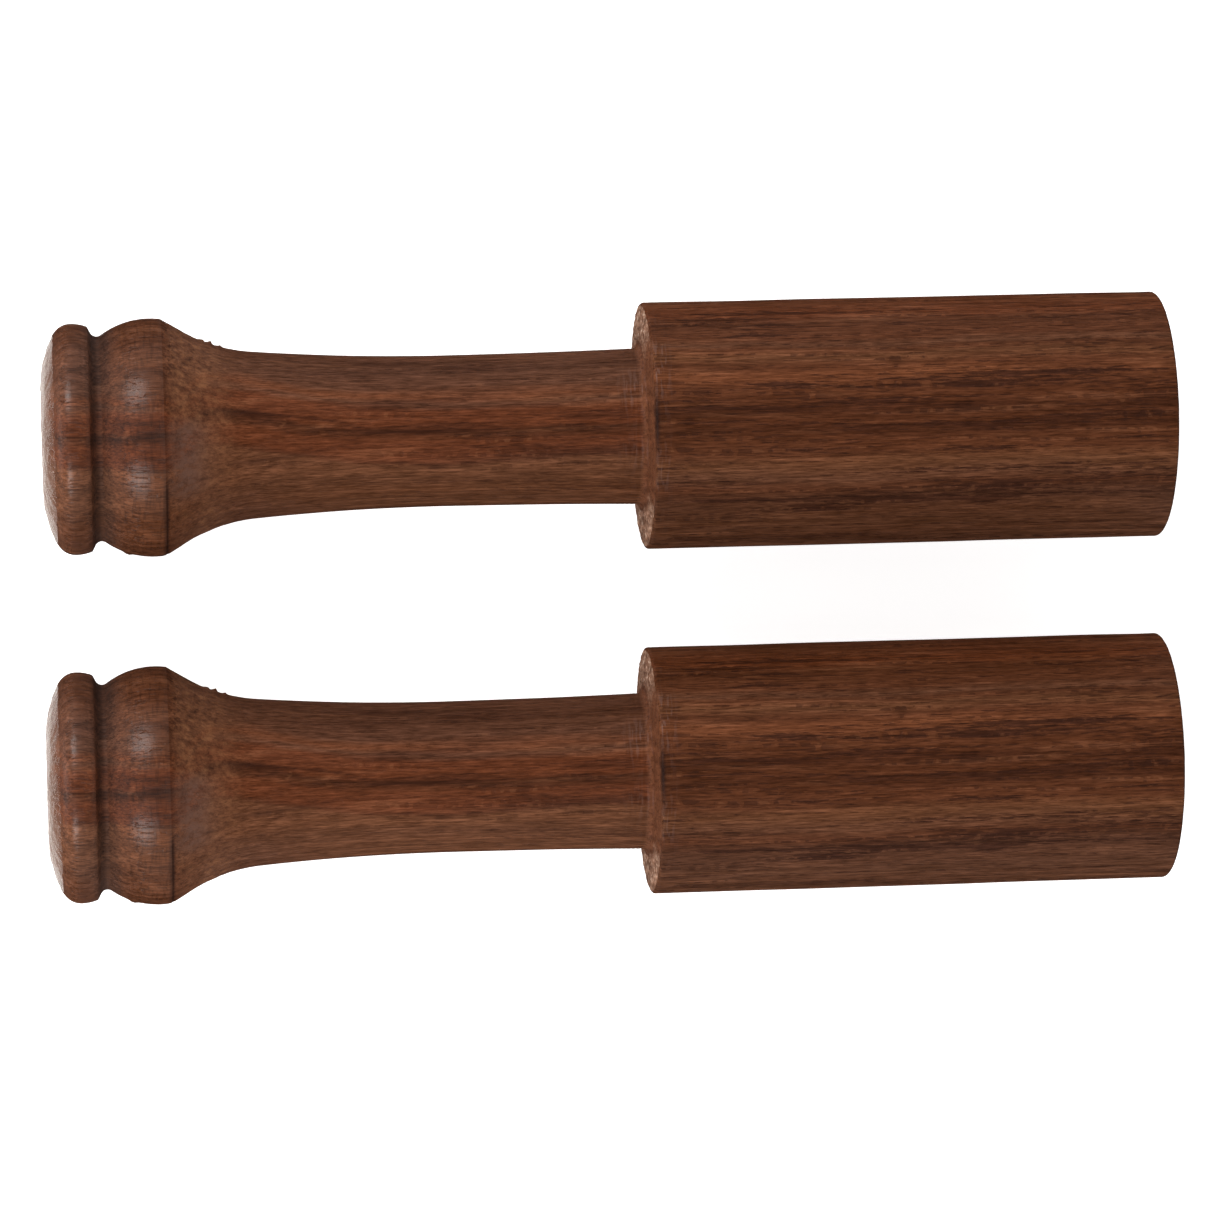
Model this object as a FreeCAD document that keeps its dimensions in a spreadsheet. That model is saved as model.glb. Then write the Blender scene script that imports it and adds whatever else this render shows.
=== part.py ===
import FreeCAD, Part
import math
import os

import Sketcher

# A pair of claves: two loose hardwood sticks, each turned whole on a lathe from
# one billet.  Along its length a stick has a butt end with a shallow dome, a
# rounded disc, a groove, a bead with a crisp arris, a hollow flare, a waisted
# grip and, beyond a square shoulder, a plain cylindrical striking head.
#
# Millimetres.  +X runs from the butts to the heads, +Z is up, and the origin is
# on the surface that the sticks lie on, below the middle of the pair.

SIZES = {
    # whole stick
    "overall_length": 145.0,
    # butt: a flat patch in the middle, a dome round it, then the disc
    "butt_flat_radius": 6.5,
    "disc_radius": 14.85,
    "disc_crest_place": 4.0,
    "disc_front_round": 2.6,
    "disc_crown_arc": 5.6,
    "disc_back_place": 6.1,
    # groove between disc and bead
    "groove_radius": 13.15,
    "groove_round": 0.9,
    # bead, ending in the arris
    "bead_radius": 15.32,
    "bead_crest_place": 14.0,
    "bead_arc": 10.5,
    "arris_place": 15.5,
    # flare down to the waist of the grip, and the grip up to the shoulder
    "flare_sweep": 20.4,
    "flare_end_place": 27.0,
    "waist_place": 51.0,
    "waist_radius": 9.75,
    "grip_front_sweep": 290.0,
    "grip_back_sweep": 900.0,
    # shoulder, which is very slightly coned, and head
    "shoulder_place": 77.1,
    "shoulder_cone": 0.4,
    "shoulder_cove": 0.8,
    "head_radius": 16.0,
    "rim_round": 0.45,
    # how the pair lies
    "axis_spacing": 44.7,
    "head_setback": 0.5,
}

START, END, CENTRE = 1, 2, 3
ORIGIN_POINT = (-1, 1)

# starting guesses for the sketch, which its constraints then move into place
DOME_END_ANGLE = 154
CROWN_END_ANGLE = 70
GROOVE_ANGLES = (185, 307)
BEAD_ANGLES = (82, 127)
FLARE_ANGLES = (239, 265)
GRIP_FRONT_START_ANGLE = 265
GRIP_BACK_END_ANGLE = 271.7
DISC_BACK_DROP, DISC_BACK_LEAN = 0.3, 0.2
FLARE_SLOPE, FLARE_RISE = 0.08, 0.9
CONE_DROP, CONE_RUN, CONE_RISE = 0.1, 2.5, 3.9
GRIP_END_RISE = 0.4

NEAR = 0.01


def make_sheet(doc):
    """Driving dimensions as plain numbers, one aliased cell each."""
    sheet = doc.addObject("Spreadsheet::Sheet", "Sizes")
    for row, (alias, value) in enumerate(SIZES.items(), start=1):
        sheet.set(f"A{row}", alias)
        sheet.set(f"B{row}", str(value))
        sheet.setAlias(f"B{row}", alias)
    doc.recompute()
    return sheet


def line(x0, y0, x1, y1):
    return Part.LineSegment(FreeCAD.Vector(x0, y0, 0), FreeCAD.Vector(x1, y1, 0))


def arc(x, y, radius, from_deg, to_deg):
    circle = Part.Circle(FreeCAD.Vector(x, y, 0), FreeCAD.Vector(0, 0, 1), radius)
    return Part.ArcOfCircle(circle, math.radians(from_deg), math.radians(to_deg))


def rough_outline(sheet):
    """Half outline of a stick, near enough for the constraints to settle."""
    butt_flat = sheet.butt_flat_radius
    crest, front = sheet.disc_crest_place, sheet.disc_front_round
    rise = sheet.disc_radius - front - butt_flat
    dome = (crest ** 2 + rise ** 2 - front ** 2) / (2 * (crest - front))
    disc_back = sheet.disc_back_place
    floor_y = sheet.groove_radius + sheet.groove_round
    bead_y = sheet.bead_radius - sheet.bead_arc
    floor_x = sheet.bead_crest_place - math.sqrt(
        (sheet.bead_arc + sheet.groove_round) ** 2 - (floor_y - bead_y) ** 2)
    arris = sheet.arris_place
    waist, waist_r = sheet.waist_place, sheet.waist_radius
    sweep_x = sheet.flare_end_place + FLARE_SLOPE * sheet.flare_sweep
    sweep_y = waist_r + FLARE_RISE + sheet.flare_sweep
    shoulder = sheet.shoulder_place
    rim = shoulder + sheet.shoulder_cone
    head, length = sheet.head_radius, sheet.overall_length
    return {
        "butt_flat": line(0, 0, 0, butt_flat),
        "dome": arc(dome, butt_flat, dome, DOME_END_ANGLE, 180),
        "disc_front": arc(crest, sheet.disc_radius - front, front, 90, DOME_END_ANGLE),
        "disc_crown": arc(crest, sheet.disc_radius - sheet.disc_crown_arc,
                          sheet.disc_crown_arc, CROWN_END_ANGLE, 90),
        "disc_back": line(disc_back, sheet.disc_radius - DISC_BACK_DROP,
                          disc_back + DISC_BACK_LEAN, floor_y),
        "groove_floor": arc(floor_x, floor_y, sheet.groove_round, *GROOVE_ANGLES),
        "bead": arc(sheet.bead_crest_place, bead_y, sheet.bead_arc, *BEAD_ANGLES),
        "flare_cone": line(arris, sheet.bead_radius - CONE_DROP,
                           arris + CONE_RUN, waist_r + CONE_RISE),
        "flare_sweep": arc(sweep_x, sweep_y, sheet.flare_sweep, *FLARE_ANGLES),
        "grip_front": arc(waist, waist_r + sheet.grip_front_sweep,
                          sheet.grip_front_sweep, GRIP_FRONT_START_ANGLE, 270),
        "grip_back": arc(waist, waist_r + sheet.grip_back_sweep,
                         sheet.grip_back_sweep, 270, GRIP_BACK_END_ANGLE),
        "shoulder": line(shoulder, waist_r + GRIP_END_RISE, rim, head),
        "head_side": line(rim, head, length, head),
        "head_end": line(length, head, length, 0),
        "axis": line(length, 0, 0, 0),
    }


def draw_outline(sketch, sheet):
    """Outline with its constraints; every measured one is bound to the sheet."""
    outline = rough_outline(sheet)
    part = {}
    for name, shape in outline.items():
        part[name] = sketch.addGeometry(shape, False)

    def fix(kind, *where):
        places = [part.get(item, item) for item in where]
        sketch.addConstraint(Sketcher.Constraint(kind, *places))

    def size(kind, where, alias, plus=None, minus=None):
        """A measured constraint, set to the sheet's value and bound to its cells."""
        places = [part.get(item, item) for item in where]
        value = getattr(sheet, alias)
        formula = "Sizes." + alias
        if plus:
            value += getattr(sheet, plus)
            formula += " + Sizes." + plus
        if minus:
            value -= getattr(sheet, minus)
            formula += " - Sizes." + minus
        index = sketch.addConstraint(Sketcher.Constraint(kind, *places, value))
        sketch.setExpression(f"Constraints[{index}]", formula)

    def place_x(name, end, alias, plus=None, minus=None):
        size("DistanceX", (*ORIGIN_POINT, name, end), alias, plus, minus)

    def place_y(name, end, alias, plus=None, minus=None):
        size("DistanceY", (*ORIGIN_POINT, name, end), alias, plus, minus)

    fix("Coincident", "butt_flat", START, *ORIGIN_POINT)
    fix("Vertical", "butt_flat")
    place_y("butt_flat", END, "butt_flat_radius")

    fix("Tangent", "butt_flat", END, "dome", END)
    fix("Tangent", "dome", START, "disc_front", END)
    fix("Vertical", "disc_front", CENTRE, "disc_front", START)
    fix("Tangent", "disc_front", START, "disc_crown", END)
    size("Radius", ("disc_front",), "disc_front_round")
    place_x("disc_front", START, "disc_crest_place")
    place_y("disc_front", START, "disc_radius")
    size("Radius", ("disc_crown",), "disc_crown_arc")
    place_x("disc_crown", START, "disc_back_place")

    fix("Coincident", "disc_crown", START, "disc_back", START)
    fix("Tangent", "disc_back", END, "groove_floor", START)
    fix("Tangent", "groove_floor", END, "bead", END)
    size("Radius", ("groove_floor",), "groove_round")
    place_y("groove_floor", CENTRE, "groove_radius", plus="groove_round")
    size("Radius", ("bead",), "bead_arc")
    place_x("bead", CENTRE, "bead_crest_place")
    place_y("bead", CENTRE, "bead_radius", minus="bead_arc")
    place_x("bead", START, "arris_place")

    fix("Coincident", "bead", START, "flare_cone", START)
    fix("Tangent", "flare_cone", END, "flare_sweep", START)
    fix("Tangent", "flare_sweep", END, "grip_front", START)
    fix("Tangent", "grip_front", END, "grip_back", START)
    fix("Vertical", "grip_front", CENTRE, "grip_front", END)
    size("Radius", ("flare_sweep",), "flare_sweep")
    size("Radius", ("grip_front",), "grip_front_sweep")
    size("Radius", ("grip_back",), "grip_back_sweep")
    place_x("flare_sweep", END, "flare_end_place")
    place_x("grip_front", END, "waist_place")
    place_y("grip_front", END, "waist_radius")
    place_x("grip_back", END, "shoulder_place")

    fix("Coincident", "grip_back", END, "shoulder", START)
    fix("Coincident", "shoulder", END, "head_side", START)
    fix("Coincident", "head_side", END, "head_end", START)
    fix("Coincident", "head_end", END, "axis", START)
    fix("Coincident", "axis", END, *ORIGIN_POINT)
    fix("Horizontal", "head_side")
    fix("Vertical", "head_end")
    fix("Horizontal", "axis")
    place_x("head_side", START, "shoulder_place", plus="shoulder_cone")
    place_y("head_side", START, "head_radius")
    place_x("head_end", START, "overall_length")


def origin_plane(body, role):
    for feature in body.Origin.OriginFeatures:
        if feature.Role == role:
            return feature
    raise ValueError("no origin plane " + role)


def circle_edges(shape, radius, place):
    """Names of the round edges of that radius whose centre is at X = place."""
    names = []
    for number, edge in enumerate(shape.Edges, start=1):
        if edge.Degenerated or not isinstance(edge.Curve, Part.Circle):
            continue
        curve = edge.Curve
        same_radius = abs(curve.Radius - radius) < NEAR
        on_axis = abs(curve.Center.y) + abs(curve.Center.z) < NEAR
        if same_radius and on_axis and abs(curve.Center.x - place) < NEAR:
            names.append(f"Edge{number}")
    return names


def round_edges(doc, body, base, name, places, formula):
    """A fillet on the round edges at the given (radius, X) places of the base."""
    edges = []
    for radius, place in places:
        edges += circle_edges(base.Shape, radius, place)
    if len(edges) != len(places):
        raise ValueError(name + " found the wrong edges")
    fillet = body.newObject("PartDesign::Fillet", name)
    fillet.Base = (base, edges)
    fillet.setExpression("Radius", formula)
    doc.recompute()
    return fillet


def make_clave(doc, sheet, name, along, across):
    """One stick, turned whole, lying with its head on the surface."""
    body = doc.addObject("PartDesign::Body", name)
    body.Label = name

    sketch = body.newObject("Sketcher::SketchObject", name + "_outline")
    sketch.AttachmentSupport = [(origin_plane(body, "XZ_Plane"), "")]
    sketch.MapMode = "FlatFace"
    doc.recompute()
    draw_outline(sketch, sheet)
    doc.recompute()
    if not sketch.FullyConstrained:
        raise ValueError(name + " outline is not fully constrained")

    turned = body.newObject("PartDesign::Revolution", name + "_turned")
    turned.Profile = sketch
    turned.ReferenceAxis = (sketch, ["H_Axis"])
    turned.Angle = 360.0
    doc.recompute()

    rise = sheet.shoulder_place - sheet.waist_place
    sweep = sheet.grip_back_sweep
    grip_end_radius = sheet.waist_radius + sweep - math.sqrt(sweep ** 2 - rise ** 2)
    shoulder_rim = sheet.shoulder_place + sheet.shoulder_cone
    cove = round_edges(doc, body, turned, name + "_shoulder_cove",
                       [(grip_end_radius, sheet.shoulder_place)],
                       "Sizes.shoulder_cove")
    eased = round_edges(doc, body, cove, name + "_eased_rims",
                        [(sheet.head_radius, shoulder_rim),
                         (sheet.head_radius, sheet.overall_length)],
                        "Sizes.rim_round")
    body.Tip = eased
    sketch.Visibility = False

    body.setExpression("Placement.Base.x", along)
    body.setExpression("Placement.Base.y", across)
    body.setExpression("Placement.Base.z", "Sizes.head_radius")
    return body


def check(doc, bodies):
    for item in doc.Objects:
        if "Invalid" in item.State or "Error" in item.State:
            raise ValueError("failed feature: " + item.Name)
    for body in bodies:
        if body.Shape.isNull() or not body.Shape.isValid():
            raise ValueError("bad shape: " + body.Label)
        if len(body.Shape.Solids) != 1:
            raise ValueError("not one solid: " + body.Label)


def main():
    os.makedirs("parts", exist_ok=True)
    doc = FreeCAD.newDocument("claves")
    sheet = make_sheet(doc)
    claves = [
        make_clave(doc, sheet, "held_clave",
                   "-(Sizes.overall_length - Sizes.head_setback) / 2",
                   "Sizes.axis_spacing / 2"),
        make_clave(doc, sheet, "striking_clave",
                   "-(Sizes.overall_length + Sizes.head_setback) / 2",
                   "-Sizes.axis_spacing / 2"),
    ]
    doc.recompute()
    check(doc, claves)
    for clave in claves:
        clave.Shape.exportStep(f"parts/{clave.Label}.step")
        box = clave.Shape.optimalBoundingBox()
        corners = (box.XMin, box.XMax, box.YMin, box.YMax, box.ZMin, box.ZMax)
        print(clave.Label, "volume", round(clave.Shape.Volume), "mm3, box",
              [round(value, 2) for value in corners])


main()
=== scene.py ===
import math

import bpy
import numpy as np
from mathutils import Matrix, Vector


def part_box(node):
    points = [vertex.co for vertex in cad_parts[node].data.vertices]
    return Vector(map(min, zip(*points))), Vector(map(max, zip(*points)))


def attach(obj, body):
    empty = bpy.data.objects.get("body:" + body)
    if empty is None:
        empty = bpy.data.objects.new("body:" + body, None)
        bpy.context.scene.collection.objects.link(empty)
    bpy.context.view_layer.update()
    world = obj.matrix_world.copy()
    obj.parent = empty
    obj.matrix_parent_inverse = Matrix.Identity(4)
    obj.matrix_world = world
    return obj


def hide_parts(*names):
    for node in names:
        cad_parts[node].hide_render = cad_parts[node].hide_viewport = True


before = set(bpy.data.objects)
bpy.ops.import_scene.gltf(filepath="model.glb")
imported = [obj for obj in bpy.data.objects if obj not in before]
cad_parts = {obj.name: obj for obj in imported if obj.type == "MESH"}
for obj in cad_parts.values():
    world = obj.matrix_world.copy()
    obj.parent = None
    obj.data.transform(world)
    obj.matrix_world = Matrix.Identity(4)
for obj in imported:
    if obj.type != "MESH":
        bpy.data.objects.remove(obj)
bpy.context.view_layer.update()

# Two turned hardwood claves on a pale floor.  Each stick is one lathe mesh, made
# in millimetres along its own axis from the same outline as the CAD part, with
# the marks of turning and torn grain pushed into it.  Blender gets metres.

MM = 0.001
RNG_SEED = 7662

# ---------------------------------------------------------------- outline (mm)

LENGTH = 145.0
BUTT_FLAT_R = 6.5
DISC_R, DISC_CREST, DISC_FRONT_ROUND = 14.85, 4.0, 2.6
DISC_CROWN_ARC, DISC_BACK = 5.6, 6.1
GROOVE_R, GROOVE_ROUND = 13.15, 0.9
BEAD_R, BEAD_CREST, BEAD_ARC, ARRIS = 15.32, 14.0, 10.5, 15.5
FLARE_SWEEP, FLARE_END = 20.4, 27.0
WAIST, WAIST_R = 51.0, 9.75
GRIP_FRONT_SWEEP, GRIP_BACK_SWEEP = 290.0, 900.0
SHOULDER, SHOULDER_CONE, COVE = 77.1, 0.4, 0.8
HEAD_R, RIM_ROUND = 16.0, 0.45
POLE_R = 0.3
ARRIS_STRIP, TOOLED_GRIP, TOOLED_HEAD = 0.9, 4.0, 2.6
SEGMENTS = 400


def toward(start, target, distance):
    """The point that far from start in the direction of target."""
    dx, dy = target[0] - start[0], target[1] - start[1]
    scale = distance / math.hypot(dx, dy)
    return start[0] + dx * scale, start[1] + dy * scale


def touch(point, centre, radius, side):
    """Where a line from point touches a circle; side +1 or -1 picks which line."""
    away = math.dist(point, centre)
    facing = math.atan2(point[1] - centre[1], point[0] - centre[0])
    turn = facing + side * math.acos(radius / away)
    return centre[0] + radius * math.cos(turn), centre[1] + radius * math.sin(turn)


def line(start, end, count):
    steps = np.arange(1, count + 1) / count
    return [(start[0] + (end[0] - start[0]) * t, start[1] + (end[1] - start[1]) * t)
            for t in steps]


def arc(centre, start, end, count):
    """Points after start along the shorter arc to end."""
    radius = math.dist(centre, start)
    a = math.atan2(start[1] - centre[1], start[0] - centre[0])
    b = math.atan2(end[1] - centre[1], end[0] - centre[0])
    turn = (b - a + math.pi) % (2 * math.pi) - math.pi
    return [(centre[0] + radius * math.cos(a + turn * k / count),
             centre[1] + radius * math.sin(a + turn * k / count))
            for k in range(1, count + 1)]


def outline():
    """Half outline from the butt's middle to the head end's: x, radius and zone of each ring."""
    flat_edge = (0.0, BUTT_FLAT_R)
    front = (DISC_CREST, DISC_R - DISC_FRONT_ROUND)
    rise = front[1] - BUTT_FLAT_R
    dome_arc = ((DISC_CREST ** 2 + rise ** 2 - DISC_FRONT_ROUND ** 2)
                / (2 * (DISC_CREST - DISC_FRONT_ROUND)))
    dome = (dome_arc, BUTT_FLAT_R)
    dome_end = toward(dome, front, dome_arc)
    crest = (DISC_CREST, DISC_R)
    crown = (DISC_CREST, DISC_R - DISC_CROWN_ARC)
    crown_end = (DISC_BACK, crown[1] + math.sqrt(DISC_CROWN_ARC ** 2 - (DISC_BACK - DISC_CREST) ** 2))
    bead = (BEAD_CREST, BEAD_R - BEAD_ARC)
    floor_r = GROOVE_R + GROOVE_ROUND
    floor = (BEAD_CREST - math.sqrt((BEAD_ARC + GROOVE_ROUND) ** 2 - (floor_r - bead[1]) ** 2), floor_r)
    wall_end = touch(crown_end, floor, GROOVE_ROUND, 1)
    bead_start = toward(bead, floor, BEAD_ARC)
    arris = (ARRIS, bead[1] + math.sqrt(BEAD_ARC ** 2 - (ARRIS - BEAD_CREST) ** 2))
    grip_front = (WAIST, WAIST_R + GRIP_FRONT_SWEEP)
    flare_end = (FLARE_END, grip_front[1] - math.sqrt(GRIP_FRONT_SWEEP ** 2 - (FLARE_END - WAIST) ** 2))
    sweep = toward(flare_end, grip_front, FLARE_SWEEP)
    cone_end = touch(arris, sweep, FLARE_SWEEP, 1)
    arris_end = toward(arris, cone_end, ARRIS_STRIP)
    waist = (WAIST, WAIST_R)
    grip_back = (WAIST, WAIST_R + GRIP_BACK_SWEEP)
    cove_x = SHOULDER - COVE
    cove_start = (cove_x, grip_back[1] - math.sqrt(GRIP_BACK_SWEEP ** 2 - (cove_x - WAIST) ** 2))
    cove = (cove_x, cove_start[1] + COVE)
    cove_end = (SHOULDER, cove[1])
    tooled_x = SHOULDER - TOOLED_GRIP
    tooled = (tooled_x, grip_back[1] - math.sqrt(GRIP_BACK_SWEEP ** 2 - (tooled_x - WAIST) ** 2))
    rim_x = SHOULDER + SHOULDER_CONE
    rim_start = (rim_x, HEAD_R - RIM_ROUND)
    rim = (rim_x + RIM_ROUND, HEAD_R - RIM_ROUND)
    rim_end = (rim[0], HEAD_R)
    tooled_head = (rim[0] + TOOLED_HEAD, HEAD_R)
    end_rim = (LENGTH - RIM_ROUND, HEAD_R - RIM_ROUND)
    end_rim_start = (end_rim[0], HEAD_R)
    end_rim_end = (LENGTH, end_rim[1])

    rings = []
    for zone, points in (
        ("butt", line((0.0, POLE_R), flat_edge, 7)),
        ("butt", arc(dome, flat_edge, dome_end, 14)),
        ("side", arc(front, dome_end, crest, 11)),
        ("side", arc(crown, crest, crown_end, 4)),
        ("side", line(crown_end, wall_end, 3)),
        ("side", arc(floor, wall_end, bead_start, 6)),
        ("side", arc(bead, bead_start, arris, 17)),
        ("flare", line(arris, arris_end, 6)),
        ("flare", line(arris_end, cone_end, 9)),
        ("flare", arc(sweep, cone_end, flare_end, 28)),
        ("side", arc(grip_front, flare_end, waist, 22)),
        ("side", arc(grip_back, waist, tooled, 18)),
        ("side", arc(grip_back, tooled, cove_start, 20)),
        ("cove", arc(cove, cove_start, cove_end, 5)),
        ("face", line(cove_end, rim_start, 14)),
        ("side", arc(rim, rim_start, rim_end, 4)),
        ("side", line(rim_end, tooled_head, 12)),
        ("side", line(tooled_head, end_rim_start, 34)),
        ("side", arc(end_rim, end_rim_start, end_rim_end, 4)),
        ("end", line(end_rim_end, (LENGTH, POLE_R), 9)),
    ):
        rings += [(x, r, zone) for x, r in points]
    x = np.array([ring[0] for ring in rings])
    r = np.array([ring[1] for ring in rings])
    return x, r, np.array([ring[2] for ring in rings])


# ------------------------------------------------------------- surface relief

# Heights in mm.
RAISED_GRAIN, WAVES, TORN_GRAIN, CHATTER, END_PITS = 0.012, 0.03, 0.06, 0.022, 0.06
RIM_WEAR, BURR, ARRIS_NICK = 0.05, 0.22, 0.10
CHATTER_STEP = 0.62
# Fibres lifted on one side of the flare: x, height.
LIFTED_FIBRES = ((20.7, 0.20), (21.7, 0.34), (23.0, 0.24))
# Flat cuts across the butt's dome: lean, way round in degrees, depth.
BUTT_CUTS = ((0.16, 62, 1.15), (0.15, 128, 1.25), (0.17, 205, 1.1), (0.14, 262, 1.3), (0.16, 331, 1.2))


def lattice_noise(rng, rows, columns, down, across):
    """Smooth noise from -1 to 1 at lattice places down, across; across wraps round."""
    knots = rng.uniform(-1.0, 1.0, (rows, columns))

    def split(place):
        whole = np.floor(place).astype(int)
        part = place - whole
        return whole, part * part * (3 - 2 * part)

    i, fi = split(down)
    j, fj = split(across)
    i0, i1 = np.clip(i, 0, rows - 1), np.clip(i + 1, 0, rows - 1)
    j0, j1 = j % columns, (j + 1) % columns
    low = knots[i0, j0] * (1 - fj) + knots[i0, j1] * fj
    high = knots[i1, j0] * (1 - fj) + knots[i1, j1] * fj
    return low * (1 - fi) + high * fi


def around_noise(rng, run, turn, step_along, step_around):
    """Noise over the skin: step_along and step_around are the lump sizes in mm."""
    rows = int(run[-1] / step_along) + 3
    columns = max(3, int(2 * math.pi * HEAD_R / step_around))
    down = np.broadcast_to((run / step_along)[:, None], (len(run), len(turn)))
    across = np.broadcast_to((turn / (2 * math.pi) * columns)[None, :], (len(run), len(turn)))
    return lattice_noise(rng, rows, columns, down, across)


def flat_noise(rng, y, z, step):
    """Noise over a cross-section: step is the lump size in mm."""
    count = int(2 * HEAD_R / step) + 4
    return lattice_noise(rng, count, count, (y + HEAD_R) / step + 1, (z + HEAD_R) / step + 1)


def bump(x, centre, width):
    """1 at the centre, falling smoothly to 0 about a width away."""
    return np.exp(-((x - centre) / width) ** 2)


def ramp(x, low, high):
    """0 below low, 1 above high, smooth between."""
    t = np.clip((x - low) / (high - low), 0, 1)
    return t * t * (3 - 2 * t)


def stick_arrays():
    """Vertex places of one stick, its axis along X from the origin, its zones and masks."""
    rng = np.random.default_rng(RNG_SEED)
    x, r, zone = outline()
    run = np.concatenate([[0], np.cumsum(np.hypot(np.diff(x), np.diff(r)))])
    turn = np.arange(SEGMENTS) * 2 * math.pi / SEGMENTS
    slope_x, slope_r = np.gradient(x), np.gradient(r)
    norm = np.hypot(slope_x, slope_r)
    out_x, out_r = -slope_r / norm, slope_x / norm

    xx = np.repeat(x[:, None], SEGMENTS, 1)
    rr = np.repeat(r[:, None], SEGMENTS, 1)
    yy, zz = rr * np.cos(turn), rr * np.sin(turn)
    end_face = np.isin(zone, ("butt", "face", "end"))[:, None] * 1.0
    in_cove = (zone == "cove")[:, None] * ramp(x, SHOULDER - COVE, SHOULDER - 0.3)[:, None]
    in_flare = (ramp(x, ARRIS + 0.2, ARRIS + 1.5) * (1 - ramp(x, 19.5, 27.0)))[:, None]
    past_arris = (x > ARRIS)[:, None] * 1.0
    by_shoulder = (bump(x, SHOULDER - 1.2, 1.9) + bump(x, SHOULDER + 1.3, 1.1))[:, None]
    by_shoulder = by_shoulder * (1 - end_face)

    # raised grain runs along the stick, torn grain sits in patches on the flare
    grain = around_noise(rng, run, turn, 14.0, 0.8) + 0.6 * around_noise(rng, run, turn, 6.0, 0.5)
    waves = around_noise(rng, run, turn, 9.0, 7.0)
    patches = ramp(around_noise(rng, run, turn, 5.0, 9.0), -0.35, 0.45)
    torn = around_noise(rng, run, turn, 0.75, 0.7) + 0.5 * around_noise(rng, run, turn, 0.4, 0.45)
    chatter = np.sin(run * 2 * math.pi / CHATTER_STEP)[:, None] * ramp(
        around_noise(rng, run, turn, 2.0, 3.0), -0.1, 0.7)
    pits = flat_noise(rng, yy, zz, 0.75) + 0.6 * flat_noise(rng, yy, zz, 0.45)
    rag = around_noise(rng, run, turn, 2.0, 0.9)
    tuft = np.abs(around_noise(rng, run, turn, 0.7, 0.6))
    upper = yy / rr

    push = RAISED_GRAIN * grain * (1 - end_face)
    push = push + WAVES * waves * ramp(x, 5.0, 9.0)[:, None] * (1 - ramp(x, 143.0, 144.5))[:, None]
    push = push + TORN_GRAIN * torn * in_flare * (0.25 + 0.75 * patches)
    push = push + CHATTER * chatter * by_shoulder
    push = push + end_face * END_PITS * pits
    near_rim = bump(x, SHOULDER + SHOULDER_CONE, 0.25)[:, None] * (rr > 14.5)
    push = push - RIM_WEAR * near_rim * np.abs(rag)
    # fibres lifted on one side of the flare, a burr on the bead's other side, a nick along the arris
    for at, high in LIFTED_FIBRES:
        push = push + high * (0.4 + tuft) * bump(x, at, 0.28)[:, None] * ramp(upper, 0.90, 0.99)
    push = push + BURR * bump(x, 10.6, 0.45)[:, None] * ramp(-upper, 0.99, 0.999)
    push = push - ARRIS_NICK * bump(x, ARRIS + 0.12, 0.16)[:, None] * ramp(-upper, 0.35, 0.5)

    xx = xx + push * out_x[:, None]
    rr = rr + push * out_r[:, None]

    # the butt was finished by hand: a few flat cuts across its dome
    for lean, at, depth in BUTT_CUTS:
        way = math.radians(at)
        cut = lean * (yy * math.cos(way) + zz * math.sin(way)) - depth
        xx = np.where((zone == "butt")[:, None], np.maximum(xx, cut), xx)

    co = np.stack([xx, rr * np.cos(turn), rr * np.sin(turn)], -1)
    masks = looks_masks(x[:, None], yy, zz, zone[:, None])
    sawn = end_face * np.where(zone == "butt", 0.5, 1.0)[:, None]
    masks["end_grain"] = np.broadcast_to(np.clip(sawn + in_cove, 0, 1), yy.shape)
    tear = np.abs(yy) + 1.6 * flat_noise(np.random.default_rng(RNG_SEED + 1), yy, zz, 3.0)
    # pale flecks at the top and bottom of the shoulder's face: partly torn end grain, partly painted
    # sheen
    masks["torn_end_sheen"] = ramp(tear, 8.4, 12.4) * (zone == "face")[:, None]
    masks["torn"] = in_flare * (0.35 + 0.65 * patches)
    masks["chipped"] = 0.75 * bump(x, ARRIS + 0.7, 0.9)[:, None] * ramp(upper, 0.25, 0.7) * past_arris
    # tool marks beside the shoulder, strongest where the softbox highlights fall around the stick:
    # their relief is real, their pale colour a painted glint
    masks["tooled"] = by_shoulder * (bump(upper, 0.42, 0.22) + 0.5 * bump(upper, -0.38, 0.16) + 0.12)
    smooth = np.stack([np.repeat(x[:, None], SEGMENTS, 1), yy, zz], -1)
    return co, smooth, zone, masks


# Dark streaks in the wood's upper side: from x, to x, y, half width (mm), how dark.
HEAD_STREAKS = (
    (79, 88, 1.9, 0.6, 0.9), (88, 96, 0.9, 0.5, 0.7), (97, 110, -1.4, 0.7, 1.0),
    (113, 131, -1.6, 0.8, 1.0), (130, 147, -0.7, 0.6, 0.9), (125, 135, 1.3, 0.5, 1.0),
    (131, 147, 2.9, 0.7, 0.8), (115, 122, 3.8, 0.5, 0.8), (114, 119, 0.9, 0.6, 1.1),
    (114, 123, -4.2, 0.5, 0.8), (110, 129, -9.0, 0.8, 1.1), (117, 124, -11.2, 0.6, 0.7),
    (79, 93, -8.3, 0.7, 0.8), (92, 104, -11.4, 0.9, 1.0), (90, 99, 12.2, 0.6, 0.7),
    (84, 97, 10.6, 0.5, 0.6), (105, 112, 12.4, 0.5, 0.7), (90, 97, 4.4, 0.4, 0.7),
    (128, 141, 9.6, 0.5, 0.6), (98, 104, -5.2, 0.4, 0.7), (79, 84, -5.4, 0.4, 0.6),
)
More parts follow.
